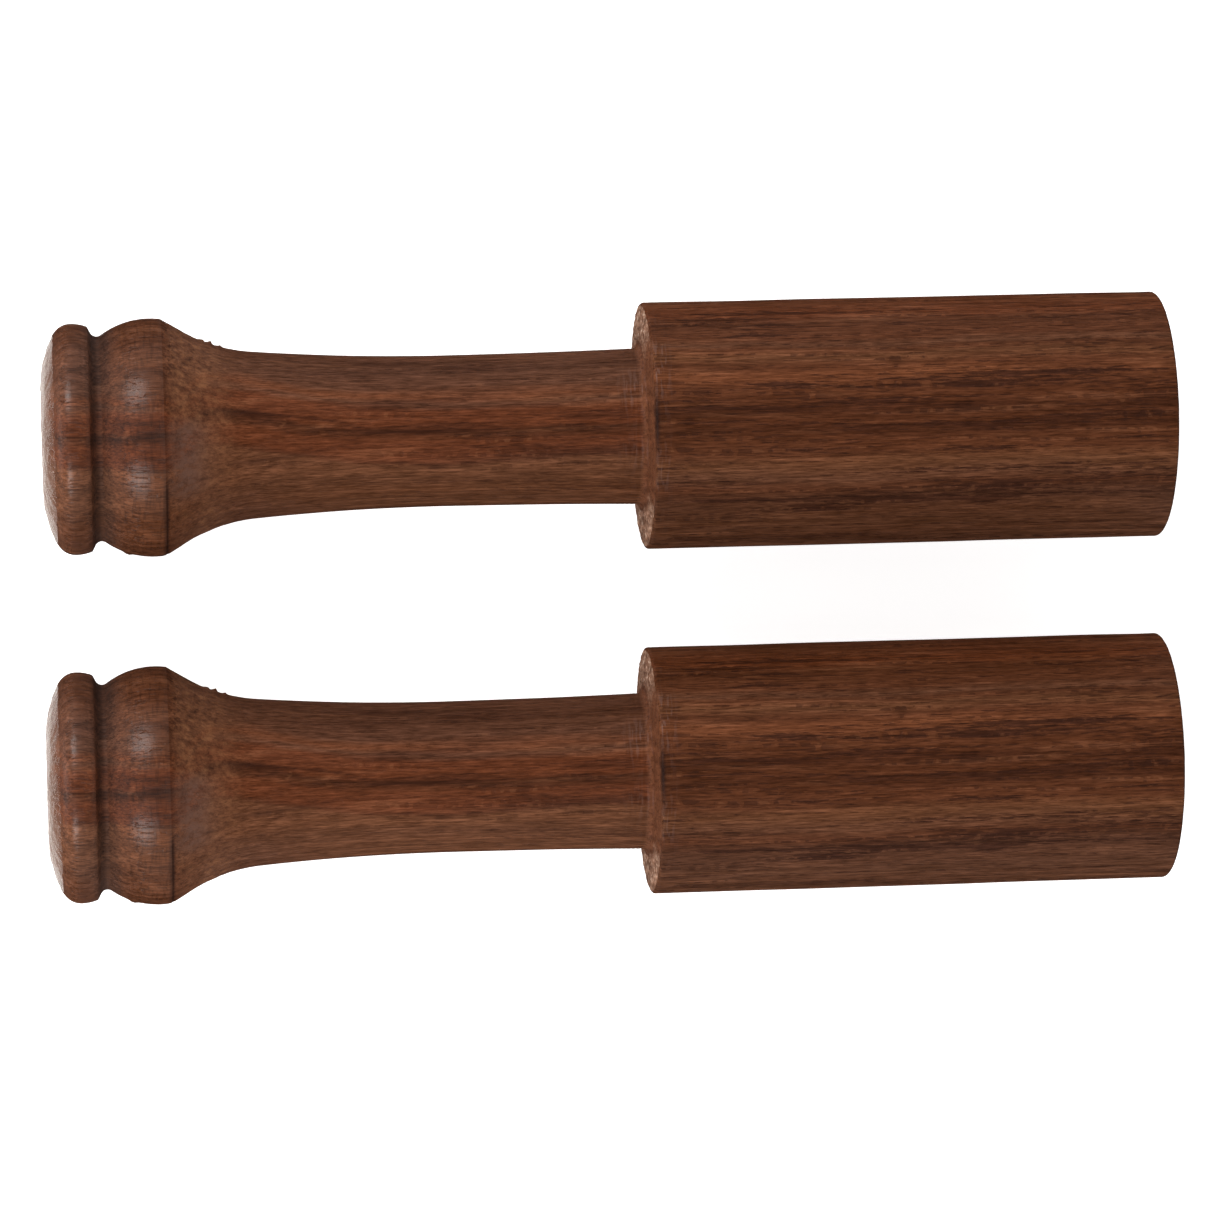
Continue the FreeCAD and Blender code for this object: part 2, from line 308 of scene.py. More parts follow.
GRIP_STREAKS = (
    (38, 48, 8.6, 0.4, 0.7), (52, 64, 8.1, 0.4, 0.8), (48, 66, 6.1, 0.5, 0.6),
    (42, 58, 3.5, 0.35, 0.9), (66, 77, 1.2, 0.5, 0.9), (56, 70, -3.2, 0.4, 0.6),
    (66, 76, -3.3, 0.35, 1.0), (48, 52, -4.9, 0.35, 1.0), (62, 68, -4.9, 0.4, 0.7),
    (66, 74, -5.0, 0.35, 0.8), (26, 34, -3.9, 0.35, 0.8), (44, 54, -6.6, 0.35, 0.5),
)
BEAD_STREAKS = (
    (10.0, 15.5, 1.3, 0.30, 0.9), (11.0, 15.5, -3.4, 0.25, 1.0), (12.0, 15.5, -4.2, 0.22, 0.9),
    (11.5, 15.5, -5.0, 0.22, 0.8), (9.5, 12.5, 5.2, 0.35, 0.9), (9.0, 15.5, 12.7, 0.5, 0.9),
    (9.0, 15.5, 11.2, 0.3, 0.7), (2.0, 5.8, -0.4, 0.6, 0.8), (2.0, 5.8, 7.6, 0.3, 0.6),
    (2.0, 5.8, -9.0, 1.2, 0.7),
)


def streak_mask(x, y, z, streaks):
    """Where dark streaks gather, 0 to about 1, on the side that faces up."""
    total = 0.0
    for start, end, across, width, dark in streaks:
        middle, half = (start + end) / 2, (end - start) / 2
        total = total + dark * bump(x, middle, half) * bump(y, across, width)
    return np.clip(total, 0, 1.2) * ramp(z, -1.0, 3.0)


def vee_mask(x, y, z):
    """Dark edges of the pointed figure in the grip, closing at its middle."""
    open_share = np.sqrt(np.clip((41.0 - x) / 17.0, 0, None))
    lower = bump(y, -0.4 - 3.6 * open_share, 0.25) * ramp(x, 22.0, 27.0) * (1 - ramp(x, 37.0, 41.0))
    thick = 0.17 + 0.16 * ramp(-x, -29.0, -23.0)
    upper = bump(y, -0.4 + 3.1 * open_share, thick) * ramp(x, 21.0, 24.0) * (1 - ramp(x, 47.0, 60.0))
    return (0.5 * lower + upper) * ramp(z, 0.0, 4.0)


def looks_masks(x, y, z, zone):
    """Where on a stick each kind of mark lies, from 0 to about 1; the painted shade goes below 0 where
    a highlight is painted instead.
    """
    reach = np.hypot(y, z)
    side = y / np.maximum(reach, 1e-6)
    butt = (zone == "butt") * (1 - ramp(x - 0.30 * ramp(-y, 3.0, 6.0), 0.3, 1.6))
    # painted shade in the groove between the disc and the bead, darkest by the disc's back
    painted_groove_shade = bump(x, 6.7, 0.5) * 0.50 + 0.28 * ramp(x, 6.6, 7.2) * (1 - ramp(x, 8.3, 9.4))
    # a painted highlight on the front of the disc, away from its middle; it also makes the wood there
    # less rough
    painted_disc_highlight = 0.20 * bump(x, 3.1, 0.9) * ramp(np.abs(y), 2.0, 5.0)
    # painted shade along the middle of the bead's upper side, between its two highlights
    painted_bead_shade = 0.30 * bump(y, 0.3, 2.8) * ramp(x, 8.0, 9.5) * (1 - ramp(x, 15.0, 17.0)) * (z > 0)
    grey = bump(x, 18.2, 2.4) * ramp(side, -0.72, -0.45) * (1 - ramp(side, 0.0, 0.2))
    arris = bump(x, ARRIS + 0.15, 0.21) * (0.15 + 0.75 * ramp(-side, 0.3, 0.5))
    # painted shade: a dark line at the head's rim, strongest across the middle of its upper side
    rim = bump(x, SHOULDER + SHOULDER_CONE + 0.2, 0.32) * (reach > 14.9)
    rim = rim * (0.06 + 0.90 * bump(y, 0.0, 3.4) * (z > 0))
    streaks = sum(streak_mask(x, y, z, table) for table in (HEAD_STREAKS, GRIP_STREAKS, BEAD_STREAKS))
    on_disc = 0.40 * ramp(x, 1.8, 2.6) * (1 - ramp(x, 5.2, 6.0))
    on_bead = ramp(x, 9.2, 10.6) * (1 - ramp(x, 14.8, 15.6))
    calm = ramp(x, 19.0, 24.0) * (1 - ramp(x, 38.0, 46.0)) * bump(y, 0.5, 7.0)
    shape = reach.shape
    return {
        "butt": np.broadcast_to(butt, shape),
        "painted_shade_and_highlight": np.clip(painted_groove_shade + painted_bead_shade - painted_disc_highlight, -0.3, 1) + 0 * y,
        "burnished": on_disc + on_bead + 0 * y,
        "grey": grey,
        "edge_line_and_rim_shade": np.clip(arris + rim, 0, 1),
        "vee": vee_mask(x, y, z),
        "streaky": streaks,
        "calm": calm,
    }


# The order of the three finishes in each stick's material slots.
OILED, BURNISHED, BUTT_END = 0, 1, 2


def lathe_mesh(name, place):
    """Closed mesh of one stick in the row frame, with what its wood needs to know."""
    co, smooth, zones, masks = stick_arrays()
    rings = co.shape[0]
    first, last = co[0].mean(0), co[-1].mean(0)
    points = np.concatenate([co.reshape(-1, 3), [first, last]])
    verts = points * MM + np.array(place)
    i = np.arange(rings - 1)[:, None] * SEGMENTS
    j = np.arange(SEGMENTS)[None, :]
    k = (j + 1) % SEGMENTS
    quads = np.stack([i + j, i + SEGMENTS + j, i + SEGMENTS + k, i + k], -1).reshape(-1, 4)[:, ::-1]
    j, k = j[0], k[0]
    butt_fan = np.stack([np.full(SEGMENTS, rings * SEGMENTS), k, j], 1)
    top = (rings - 1) * SEGMENTS
    end_fan = np.stack([np.full(SEGMENTS, rings * SEGMENTS + 1), top + j, top + k], 1)
    faces = quads.tolist() + butt_fan.tolist() + end_fan.tolist()
    mesh = bpy.data.meshes.new(name)
    mesh.from_pydata(verts.tolist(), [], faces)
    mesh.polygons.foreach_set("use_smooth", np.ones(len(faces), bool))
    before_arris = smooth[:-1, 0, 0] < ARRIS - 0.01
    finish = np.where(zones[1:] == "butt", BUTT_END, np.where(before_arris, BURNISHED, OILED))
    fans = np.repeat([BUTT_END, OILED], SEGMENTS)
    finish = np.concatenate([np.repeat(finish, SEGMENTS), fans])
    mesh.polygons.foreach_set("material_index", finish.astype(np.int32))

    flat = smooth.reshape(-1, 3)
    flat = np.concatenate([flat, [flat[:SEGMENTS].mean(0), flat[-SEGMENTS:].mean(0)]])
    vector = mesh.attributes.new("stick_place", "FLOAT_VECTOR", "POINT")
    vector.data.foreach_set("vector", flat.astype(np.float32).ravel())
    for mask_name, values in masks.items():
        values = np.concatenate([values.ravel(), [values[0].mean(), values[-1].mean()]])
        layer = mesh.attributes.new(mask_name, "FLOAT", "POINT")
        layer.data.foreach_set("value", values.astype(np.float32))
    figure = mesh.attributes.new("figure", "FLOAT", "POINT")
    figure.data.foreach_set("value", figure_of(flat).astype(np.float32))
    mesh.validate()
    return mesh


def figure_of(place):
    """How far across the growth layers a point is, in mm, so that bands can be laid by it."""
    x, y, z = place[:, 0], place[:, 1], place[:, 2]
    reach = np.hypot(y, z)
    drift = 3.1 * ramp(x, 16.5, 21.0) * (1 - ramp(x, 21.0, 41.0)) - 0.2
    outer = np.where(x < 4.0, DISC_R, HEAD_R)
    on_face = (x < 2.0) | (np.abs(x - SHOULDER - 0.2) < 0.25) | (x > LENGTH - 0.2)
    bend = np.where(on_face, (reach ** 2 - outer ** 2) / 120.0, 0.0)
    grip = (x < SHOULDER + 0.2)
    return np.where(grip, y - drift, y) + bend


# ------------------------------------------------------------------ materials

class Graph:
    """Short names for the nodes of one material."""

    def __init__(self, material):
        material.use_nodes = True
        self.tree = material.node_tree
        self.tree.nodes.clear()

    def node(self, kind, **settings):
        made = self.tree.nodes.new("ShaderNode" + kind)
        for key, value in settings.items():
            setattr(made, key, value)
        return made

    def feed(self, socket, value):
        if isinstance(value, bpy.types.NodeSocket):
            self.tree.links.new(value, socket)
        else:
            socket.default_value = value

    def attribute(self, name, output="Fac"):
        made = self.node("Attribute", attribute_type="GEOMETRY", attribute_name=name)
        return made.outputs[output]

    def maths(self, operation, a, b=0.0, c=0.0, clamp=False):
        made = self.node("Math", operation=operation, use_clamp=clamp)
        for socket, value in zip(made.inputs, (a, b, c)):
            self.feed(socket, value)
        return made.outputs[0]

    def scaled(self, vector, scale, shift=(0.0, 0.0, 0.0)):
        made = self.node("VectorMath", operation="MULTIPLY_ADD")
        self.feed(made.inputs[0], vector)
        self.feed(made.inputs[1], scale)
        self.feed(made.inputs[2], shift)
        return made.outputs[0]

    def grain(self, place, fineness, shift=(0.0, 0.0, 0.0)):
        """The place stretched along the stick: fineness is rounds per mm along, then across."""
        along, across = fineness
        return self.scaled(place, (along, across, across), shift)

    def noise(self, vector, detail=3.0, roughness=0.5):
        made = self.node("TexNoise", noise_dimensions="3D")
        self.feed(made.inputs["Vector"], vector)
        made.inputs["Scale"].default_value = 1.0
        made.inputs["Detail"].default_value = detail
        made.inputs["Roughness"].default_value = roughness
        return made.outputs["Fac"]

    def cells(self, vector):
        made = self.node("TexVoronoi", voronoi_dimensions="3D", feature="F1")
        self.feed(made.inputs["Vector"], vector)
        made.inputs["Scale"].default_value = 1.0
        return made.outputs["Distance"]

    def span(self, value, low, high, to_low=0.0, to_high=1.0, smooth=True):
        made = self.node("MapRange", interpolation_type="SMOOTHSTEP" if smooth else "LINEAR")
        for socket, number in zip(made.inputs, (value, low, high, to_low, to_high)):
            self.feed(socket, number)
        return made.outputs["Result"]

    def colours(self, value, stops):
        made = self.node("ValToRGB")
        band = made.color_ramp
        band.interpolation = "LINEAR"
        while len(band.elements) < len(stops):
            band.elements.new(0.5)
        for element, (place, colour) in zip(band.elements, sorted(stops)):
            element.position = place
            element.color = (*colour, 1.0)
        self.feed(made.inputs["Fac"], value)
        return made.outputs["Color"]

    def brightened(self, colour, amount):
        """The colour times one number."""
        grey = self.node("CombineColor")
        for socket in grey.inputs[:3]:
            self.feed(socket, amount)
        return self.mix(1.0, colour, grey.outputs[0], "MULTIPLY")

    def tinted(self, colour, share, low, high):
        """The colour times a tint between low and high."""
        return self.mix(1.0, colour, self.mix(share, low, high), "MULTIPLY")

    def mix(self, share, a, b, blend="MIX"):
        made = self.node("Mix", data_type="RGBA", blend_type=blend, clamp_factor=True)
        self.feed(made.inputs["Factor"], share)
        for name, value in (("A", a), ("B", b)):
            socket = [s for s in made.inputs if s.name == name and s.type == "RGBA"][0]
            self.feed(socket, value if isinstance(value, bpy.types.NodeSocket) else (*value, 1.0))
        return [s for s in made.outputs if s.type == "RGBA"][0]


def srgb(red, green, blue):
    """Linear colour from 0 to 255 display values."""
    def linear(value):
        value /= 255.0
        return value / 12.92 if value <= 0.04045 else ((value + 0.055) / 1.055) ** 2.4
    return tuple(linear(v) for v in (red, green, blue))


# The wood's shades, as display values.
DEEP, DARK, MID, RED = (66, 36, 23), (80, 45, 29), (87, 50, 33), (97, 53, 33)
BROWN, GREY, TAN, ORANGE = (84, 52, 38), (93, 59, 44), (99, 62, 43), (107, 63, 42)
DARK_WOOD, LIGHT_WOOD, PORE = (50, 25, 14), (136, 86, 58), (38, 17, 9)
# the first of these is the colour of painted glints along the pore rows
PORE_GLINT, BUTT_SHADE, GREY_PATCH = (142, 92, 62), (106, 80, 64), (92, 66, 56)
# the first is the colour of painted glints on the tool rings, the second of the dark arris line and of
# painted shade at the head's rim
TOOL_MARK_GLINT, LINE_SHADE = (118, 90, 82), (30, 16, 12)
SMOOTH_END_SHADES = (0.3, (74, 41, 26)), (0.7, (102, 62, 41))
# shades of rough end grain, the palest of them painted sheen
TORN_END_SHEEN_SHADES = (
    (0.34, (84, 56, 42)), (0.50, (132, 96, 76)), (0.62, (176, 144, 122)), (0.72, (222, 203, 186)),
)
TORN_SHADES = (0.33, (53, 33, 24)), (0.5, (101, 64, 44)), (0.67, (138, 92, 62))

# Bands across the figure: place in mm from the axis, then the shade there.
BAND_REACH = 16.0
HEAD_BANDS = (
    (-16.0, GREY), (-14.6, BROWN), (-13.4, GREY), (-12.0, BROWN), (-10.0, BROWN), (-8.9, DARK),
    (-7.6, GREY), (-5.6, TAN), (-4.0, MID), (-2.4, DARK), (-1.5, DEEP), (-0.4, DARK), (1.2, DEEP),
    (2.2, DARK), (4.2, MID), (5.6, ORANGE), (6.6, MID), (7.9, TAN), (8.8, MID), (9.4, GREY),
    (10.4, MID), (12.6, MID), (13.6, RED), (16.0, MID),
)
GRIP_BANDS = (
    (-16.0, GREY), (-12.0, GREY), (-9.0, TAN), (-5.4, TAN), (-4.4, TAN), (-3.9, MID), (-3.3, RED),
    (-1.6, RED), (-0.7, DARK), (-0.1, DEEP), (0.5, RED), (1.8, RED), (2.6, RED), (3.4, GREY),
    (4.2, ORANGE), (5.2, GREY), (7.0, GREY), (8.2, BROWN), (9.4, GREY), (12.0, BROWN), (16.0, GREY),
)
# Share of red, green and blue that each stretch of the stick keeps, and where the stretches meet.
DISC_TONE = (0.79, 0.72, 0.62)
BEAD_TONE = (0.79, 0.65, 0.47)
GRIP_TONE = (0.735, 0.68, 0.58)
HEAD_TONE = (0.755, 0.69, 0.545)
BEAD_TONE_FROM, BEAD_TONE_TO = 8.0, 9.5
FLARE_TONE_FROM, FLARE_TONE_TO = 15.5, 27.0

# How fine each pattern is: rounds per mm along the stick, then across it.
WANDER, RIPPLE, STREAKS, CROWD = (0.035, 0.22), (0.09, 1.1), (0.034, 0.62), (0.02, 0.16)
BREAKS, FIBRES, HAIRS, VESSELS = (0.36, 3.2), (0.10, 2.2), (0.42, 4.6), (0.20, 3.1)
ROWS, DASHES, FLECKS, DOTS = (0.018, 1.1), (0.75, 0.6), (0.9, 1.25), (0.2, 2.8)
SPECKS, CHIPS, TURNING = (0.7, 1.1), (1.3, 1.5), (2.6, 0.42)
GROWTH_ON_ENDS = (0.0, 0.85, 0.10)
# a fibre's dark and light shades, as shares of the wood round it: light ones are less red
FIBRE_SHADES = (0.68, 0.64, 0.56), (1.32, 1.38, 1.48)
HAIR_SHADES = (0.56, 0.52, 0.45), (1.42, 1.47, 1.57)

# How the three finishes shine.
OILED_GLOSS, BURNISHED_GLOSS, BUTT_SHEEN = 0.055, 0.20, 0.80
WOOD_IOR = 1.45
SHEEN_ROUGHNESS, SHEEN_TINT = 0.25, (1.0, 0.96, 0.92, 1.0)
SATIN_ROUGHNESS = 0.40, 0.50
RELIEF_STRENGTH = 0.8


def shades(stops):
    return [(at, srgb(*colour)) for at, colour in stops]


def band_stops(bands):
    """Colour ramp stops, where 0 to 1 runs over the whole reach of the bands."""
    return [((at + BAND_REACH) / (2 * BAND_REACH), srgb(*colour)) for at, colour in bands]


def banded(g, place, parts):
    """Colour of the broad bands, which wander a little along the stick."""
    wander = g.noise(g.grain(place, WANDER), detail=2.0)
    ripple = g.noise(g.grain(place, RIPPLE, (31.0, 0.0, 7.0)), detail=2.0)
    across = g.maths("MULTIPLY_ADD", wander, 2.4, g.attribute("figure"))
    across = g.maths("MULTIPLY_ADD", ripple, 1.0, across)
    across = g.maths("SUBTRACT", across, 1.7)
    share = g.maths("MULTIPLY_ADD", across, 0.5 / BAND_REACH, 0.5)
    head = g.colours(share, band_stops(HEAD_BANDS))
    grip = g.colours(share, band_stops(GRIP_BANDS))
    in_head = g.maths("GREATER_THAN", parts["X"], SHOULDER + 0.2)
    in_grip = g.span(parts["X"], FLARE_TONE_FROM, FLARE_TONE_TO)
    on_bead = g.span(parts["X"], BEAD_TONE_FROM, BEAD_TONE_TO)
    butt_end_tone = g.mix(on_bead, DISC_TONE, BEAD_TONE)
    grip = g.mix(1.0, grip, g.mix(in_grip, butt_end_tone, GRIP_TONE), "MULTIPLY")
    head = g.mix(1.0, head, HEAD_TONE, "MULTIPLY")
    return layered(g, g.mix(in_head, grip, head), parts, in_grip)


def layered(g, colour, parts, in_grip):
    """Growth layers lie flat below the upper side, so hollows cut through them."""
    bow = g.maths("MULTIPLY", parts["Y"], parts["Y"])
    bow = g.maths("MULTIPLY_ADD", bow, -0.012, parts["Z"])
    bow = g.maths("MULTIPLY_ADD", parts["X"], 0.02, bow)
    layer = g.node("CombineXYZ")
    g.feed(layer.inputs["X"], g.maths("MULTIPLY", parts["X"], 0.015))
    g.feed(layer.inputs["Y"], g.maths("MULTIPLY", parts["Y"], 0.05))
    g.feed(layer.inputs["Z"], g.maths("MULTIPLY", bow, 0.9))
    layers = g.noise(layer.outputs[0], detail=4.0, roughness=0.6)
    light = g.span(layers, 0.3, 0.7, -1.0, 1.0, smooth=False)
    swing = g.maths("MULTIPLY_ADD", in_grip, -0.13, 0.32)
    return g.brightened(colour, g.maths("MULTIPLY_ADD", light, swing, 1.0))


def streaked(g, colour, place, parts):
    """Feathered dark and light streaks, a few mm to a few cm long, and the fibres between them."""
    streaks = g.noise(g.grain(place, STREAKS, (3.0, 1.0, 4.0)), detail=6.0, roughness=0.64)
    crowd = g.noise(g.grain(place, CROWD, (5.0, 5.0, 1.0)), detail=1.0)
    breaks = g.noise(g.grain(place, BREAKS, (9.0, 2.0, 5.0)), detail=4.0, roughness=0.75)
    dark = g.maths("MULTIPLY_ADD", g.attribute("streaky"), 0.17, streaks)
    dark = g.maths("MULTIPLY_ADD", g.maths("SUBTRACT", crowd, 0.5), 0.22, dark)
    dark = g.maths("MULTIPLY_ADD", g.maths("SUBTRACT", breaks, 0.5), 0.62, dark)
    depth = g.span(parts["X"], SHOULDER - 1.0, SHOULDER, 0.50, 0.88)
    depth = g.maths("MULTIPLY", depth, g.maths("MULTIPLY_ADD", g.attribute("calm"), -0.75, 1.0))
    colour = g.mix(g.maths("MULTIPLY", g.span(dark, 0.56, 0.645), depth), colour, srgb(*DARK_WOOD))
    colour = g.mix(g.span(streaks, 0.46, 0.32, 0.0, 0.22), colour, srgb(*LIGHT_WOOD))
    fibres = g.noise(g.grain(place, FIBRES, (0.0, 5.0, 11.0)), detail=5.0, roughness=0.66)
    hairs = g.noise(g.grain(place, HAIRS, (2.0, 8.0, 4.0)), detail=2.0, roughness=0.7)
    colour = g.tinted(colour, g.span(fibres, 0.28, 0.72, smooth=False), *FIBRE_SHADES)
    colour = g.tinted(colour, g.span(hairs, 0.30, 0.70, smooth=False), *HAIR_SHADES)
    return colour, dark, depth, fibres


def pored(g, colour, place, dark, depth):
    """Short thin vessel lines, most of them in the dark wood, rows of finer dashes, and light dashes
    along the rows as painted glints.
    """
    vessel = g.cells(g.grain(place, VESSELS, (6.0, 2.0, 9.0)))
    vessel = g.maths("MULTIPLY", g.span(vessel, 0.27, 0.14), g.span(dark, 0.40, 0.58, 0.25, 1.0))
    rows = g.noise(g.grain(place, ROWS, (7.0, 3.0, 9.0)), detail=1.0)
    row = g.maths("ABSOLUTE", g.maths("SUBTRACT", rows, 0.5))
    dash = g.noise(g.grain(place, DASHES, (1.0, 6.0, 2.0)), detail=1.0)
    dashes = g.maths("MULTIPLY", g.span(row, 0.008, 0.034, 1.0, 0.0), g.span(dash, 0.49, 0.55))
    # painted glints: light dashes along the pore rows
    pore_glint = g.maths("MULTIPLY", g.span(row, 0.006, 0.026, 1.0, 0.0), g.span(dash, 0.42, 0.36))
    pores = g.maths("MAXIMUM", vessel, g.maths("MULTIPLY", dashes, 0.8))
    colour = g.mix(g.maths("MULTIPLY", pores, g.maths("MULTIPLY", depth, 0.72)), colour, srgb(*PORE))
    colour = g.mix(g.maths("MULTIPLY", pore_glint, 0.13), colour, srgb(*PORE_GLINT))
    return colour, pores


def end_grained(g, colour, place, fleck):
    """End grain: rougher and paler, with light flecks toward the shoulder's edge, which are partly torn
    grain and partly painted sheen.
    """
    torn_end_sheen = g.maths("MULTIPLY", g.attribute("torn_end_sheen"), 0.85)
    smooth_face = g.colours(fleck, shades(SMOOTH_END_SHADES))
    face = g.mix(torn_end_sheen, smooth_face, g.colours(fleck, shades(TORN_END_SHEEN_SHADES)))
    growth = g.noise(g.scaled(place, GROWTH_ON_ENDS, (0.0, 3.0, 8.0)), detail=4.0, roughness=0.65)
    face = g.brightened(face, g.span(growth, 0.35, 0.65, 0.72, 1.25, smooth=False))
    dots = g.noise(g.grain(place, DOTS, (4.0, 1.0, 1.0)), detail=1.0)
    face = g.mix(g.span(dots, 0.63, 0.70, 0.0, 0.55), face, srgb(*PORE))
    colour = g.mix(g.maths("MULTIPLY", g.attribute("end_grain"), 0.85), colour, face)
    butt = g.maths("MULTIPLY", g.attribute("butt"), g.span(fleck, 0.35, 0.6, 0.72, 1.0))
    return g.mix(g.maths("MULTIPLY", butt, 0.55), colour, srgb(*BUTT_SHADE))


def torn_grained(g, colour, place, speck):
    """Grey-brown mottling on the flare, with dark chips just past its arris."""
    mottle = g.colours(speck, shades(TORN_SHADES))
    colour = g.mix(g.maths("MULTIPLY", g.attribute("torn"), 0.56), colour, mottle)
    chip = g.span(g.noise(g.grain(place, CHIPS, (4.0, 4.0, 0.0)), detail=3.0), 0.52, 0.62)
    colour = g.mix(g.maths("MULTIPLY", chip, g.attribute("chipped")), colour, srgb(*PORE))
    grey = g.maths("MULTIPLY", g.attribute("grey"), g.span(speck, 0.36, 0.60, 0.35, 0.8))
    return g.mix(grey, colour, srgb(*GREY_PATCH))


def tool_marked(g, colour, rings):
    """Tool rings beside the shoulder with painted glints on them, turned lines on disc and bead, a dark
    line at the arris and painted shade at the head's rim.
    """
    # painted glints on the tool rings
    glint_mark = g.maths("MULTIPLY", g.span(rings, 0.50, 0.64), g.attribute("tooled"))
    colour = g.mix(g.maths("MULTIPLY", glint_mark, 0.30), colour, srgb(*TOOL_MARK_GLINT))
    turned = g.maths("MULTIPLY", g.span(rings, 0.50, 0.62), g.attribute("burnished"))
    colour = g.brightened(colour, g.maths("MULTIPLY_ADD", turned, -0.24, 1.0))
    # a dark line at the arris, and painted shade at the head's rim
    return g.mix(g.attribute("edge_line_and_rim_shade"), colour, srgb(*LINE_SHADE))


def summed(g, total, terms):
    """The total plus each value times its weight."""
    for value, weight in terms:
        total = g.maths("MULTIPLY_ADD", value, weight, total)
    return total


def turned_wood(name, gloss, sheen=0.0):
    """Dark red-brown hardwood: banded figure, long pores, end grain and torn grain."""
    material = bpy.data.materials.new(name)
    g = Graph(material)
    place = g.attribute("stick_place", "Vector")
    split = g.node("SeparateXYZ")
    g.feed(split.inputs[0], place)
    parts = split.outputs
    fleck = g.noise(g.grain(place, FLECKS), detail=4.0, roughness=0.7)
    speck = g.noise(g.grain(place, SPECKS, (2.0, 0.0, 4.0)), detail=5.0, roughness=0.72)
    rings = g.noise(g.grain(place, TURNING, (0.0, 0.0, 6.0)), detail=2.0)

    colour = banded(g, place, parts)
    colour, dark, depth, fibres = streaked(g, colour, place, parts)
    colour, pores = pored(g, colour, place, dark, depth)
    vee = g.maths("MULTIPLY", g.attribute("vee"), g.span(fibres, 0.3, 0.6, 0.60, 0.85))
    colour = g.mix(vee, colour, srgb(*PORE))
    # painted shade darkens the groove and the middle of the bead's upper side; where the mask is below
    # 0 it is a painted highlight on the disc's front
    colour = g.brightened(colour, g.maths("SUBTRACT", 1.0, g.attribute("painted_shade_and_highlight")))
    colour = end_grained(g, colour, place, fleck)
    colour = torn_grained(g, colour, place, speck)
    colour = tool_marked(g, colour, rings)

    torn, burnished, end_grain = (g.attribute(mask) for mask in ("torn", "burnished", "end_grain"))
    height = summed(g, g.maths("MULTIPLY", pores, -0.05), (
        (fibres, 0.030),
        (g.maths("MULTIPLY", fleck, end_grain), 0.22),
        (g.maths("MULTIPLY", speck, torn), 0.18),
        (g.maths("MULTIPLY", rings, g.attribute("tooled")), 0.03),
        (g.maths("MULTIPLY", rings, burnished), 0.015),
    ))
    relief = g.node("Bump")
    relief.inputs["Strength"].default_value = RELIEF_STRENGTH
    relief.inputs["Distance"].default_value = MM
    g.feed(relief.inputs["Height"], height)
    rough = summed(g, g.span(fibres, 0.3, 0.7, *SATIN_ROUGHNESS), (
        (burnished, -0.15), (g.attribute("painted_shade_and_highlight"), 0.60), (pores, 0.15), (torn, 0.16),
    ))
    rough = g.maths("MULTIPLY_ADD", end_grain, 0.14, rough, clamp=True)

    shader = g.node("BsdfPrincipled")
    g.feed(shader.inputs["Base Color"], colour)
    g.feed(shader.inputs["Roughness"], rough)
    g.feed(shader.inputs["Normal"], relief.outputs[0])
    shader.inputs["IOR"].default_value = WOOD_IOR
    shader.inputs["Specular IOR Level"].default_value = gloss
    shader.inputs["Sheen Weight"].default_value = sheen
    shader.inputs["Sheen Roughness"].default_value = SHEEN_ROUGHNESS
    shader.inputs["Sheen Tint"].default_value = SHEEN_TINT
    out = g.node("OutputMaterial")
    g.feed(out.inputs["Surface"], shader.outputs[0])
    return material


FLOOR_SIZE = 12.0
FLOOR_TONE, FLOOR_GLOW, FLOOR_ROUGHNESS, FLOOR_GLOSS = 0.92, 0.80, 0.9, 0.1


def plain_floor():
    material = bpy.data.materials.new("pale_floor")
    g = Graph(material)
    shader = g.node("BsdfPrincipled")
    shader.inputs["Base Color"].default_value = (FLOOR_TONE, FLOOR_TONE, FLOOR_TONE, 1.0)
    shader.inputs["Emission Color"].default_value = (1.0, 1.0, 1.0, 1.0)
    shader.inputs["Emission Strength"].default_value = FLOOR_GLOW
    shader.inputs["Roughness"].default_value = FLOOR_ROUGHNESS
    shader.inputs["Specular IOR Level"].default_value = FLOOR_GLOSS
    out = g.node("OutputMaterial")
    g.feed(out.inputs["Surface"], shader.outputs[0])
    return material


# --------------------------------------------------------------------- pieces

def add_claves():
    """One detailed stick in place of each CAD stick, at the place the CAD gives it."""
    woods = (turned_wood("turned_wood", OILED_GLOSS), turned_wood("burnished_wood", BURNISHED_GLOSS),
             turned_wood("butt_wood", OILED_GLOSS, BUTT_SHEEN))
    for node, body in (("held_clave", "held_clave"), ("striking_clave", "striking_clave")):
        low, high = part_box(node)
        middle = (low + high) / 2
        name = node + "_turned"
        mesh = lathe_mesh(name, (low.x, middle.y, middle.z))
        for wood in woods:
            mesh.materials.append(wood)
        stick = bpy.data.objects.new(name, mesh)
        bpy.context.scene.collection.objects.link(stick)
        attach(stick, body)
        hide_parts(node)


def add_floor():
    half = FLOOR_SIZE / 2
    mesh = bpy.data.meshes.new("floor")
    mesh.from_pydata([(-half, -half, 0), (half, -half, 0), (half, half, 0), (-half, half, 0)],
                     [], [(0, 1, 2, 3)])
    mesh.materials.append(plain_floor())
    floor = bpy.data.objects.new("floor", mesh)
    bpy.context.scene.collection.objects.link(floor)
    floor.visible_glossy = False


# ------------------------------------------------------------ camera and light

AXIS_HEIGHT = HEAD_R * MM
CAMERA_LENS, CAMERA_SENSOR = 153.0, 36.0
CAMERA_NEAR, CAMERA_FAR = 0.01, 50.0
CAMERA_AWAY = 0.674
CAMERA_TILT = math.radians(5.7)
CAMERA_ROLL = math.radians(1.57)
CAMERA_TARGET = Vector((0.00055, -0.0016, AXIS_HEIGHT))


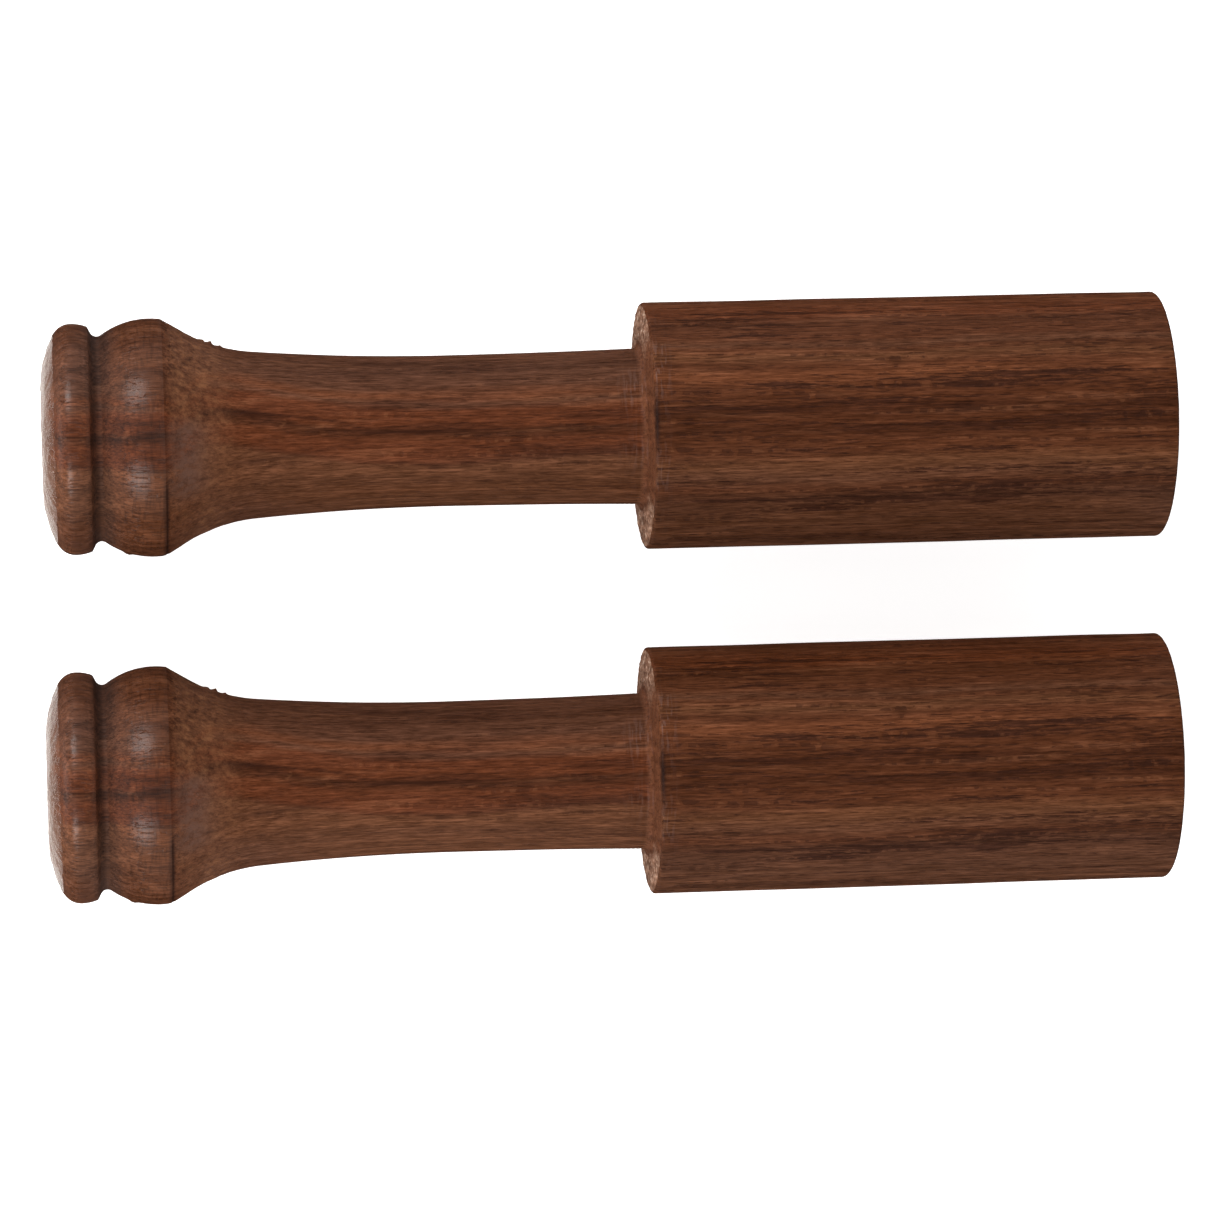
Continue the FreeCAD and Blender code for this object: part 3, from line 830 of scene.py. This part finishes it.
def add_camera():
    """Looks down on the pair from above the grips with a long lens."""
    data = bpy.data.cameras.new("camera")
    data.lens = CAMERA_LENS
    data.sensor_width = CAMERA_SENSOR
    data.clip_start = CAMERA_NEAR
    data.clip_end = CAMERA_FAR
    camera = bpy.data.objects.new("camera", data)
    bpy.context.scene.collection.objects.link(camera)
    back = Vector((-math.sin(CAMERA_TILT), 0.0, math.cos(CAMERA_TILT)))
    right = Vector((0.0, 1.0, 0.0)).cross(back).normalized()
    up = back.cross(right)
    rolled_right = right * math.cos(CAMERA_ROLL) - up * math.sin(CAMERA_ROLL)
    rolled_up = right * math.sin(CAMERA_ROLL) + up * math.cos(CAMERA_ROLL)
    turn = Matrix((rolled_right, rolled_up, back)).transposed().to_4x4()
    camera.matrix_world = Matrix.Translation(CAMERA_TARGET + back * CAMERA_AWAY) @ turn
    bpy.context.scene.camera = camera


# Softboxes: name, place in metres, size and power.
SOFTBOXES = (
    ("softbox_far", (-0.42, 0.72, 0.80), 0.44, 8.0),
    ("softbox_near", (-0.42, -0.72, 0.80), 0.44, 8.0),
    ("softbox_butts", (-0.75, 0.0, 0.22), 0.40, 2.0),
)
# The even fill: dark below the floor, 0.85 strong at the sides and weaker overhead.
FILL_BELOW = -0.20, -0.08
FILL_ABOVE = 0.45, 0.95, 0.85, 0.25


def add_softbox(name, place, size, power):
    data = bpy.data.lights.new(name, "AREA")
    data.shape = "SQUARE"
    data.size = size
    data.energy = power
    light = bpy.data.objects.new(name, data)
    light.location = place
    light.rotation_euler = (-Vector(place)).to_track_quat("-Z", "Y").to_euler()
    bpy.context.scene.collection.objects.link(light)


def add_light():
    """Softboxes each side of the sticks and low beyond their butts, and an even fill."""
    for softbox in SOFTBOXES:
        add_softbox(*softbox)
    world = bpy.data.worlds.new("studio")
    g = Graph(world)
    direction = g.node("TexCoord")
    height = g.node("SeparateXYZ")
    g.feed(height.inputs[0], direction.outputs["Generated"])
    background = g.node("Background")
    background.inputs["Color"].default_value = (1.0, 1.0, 1.0, 1.0)
    below = g.span(height.outputs["Z"], *FILL_BELOW)
    above = g.span(height.outputs["Z"], *FILL_ABOVE)
    g.feed(background.inputs["Strength"], g.maths("MULTIPLY", above, below))
    out = g.node("OutputWorld")
    g.feed(out.inputs["Surface"], background.outputs[0])
    bpy.context.scene.world = world


bpy.context.scene.view_settings.view_transform = "Standard"
add_camera()
add_light()
add_floor()
add_claves()
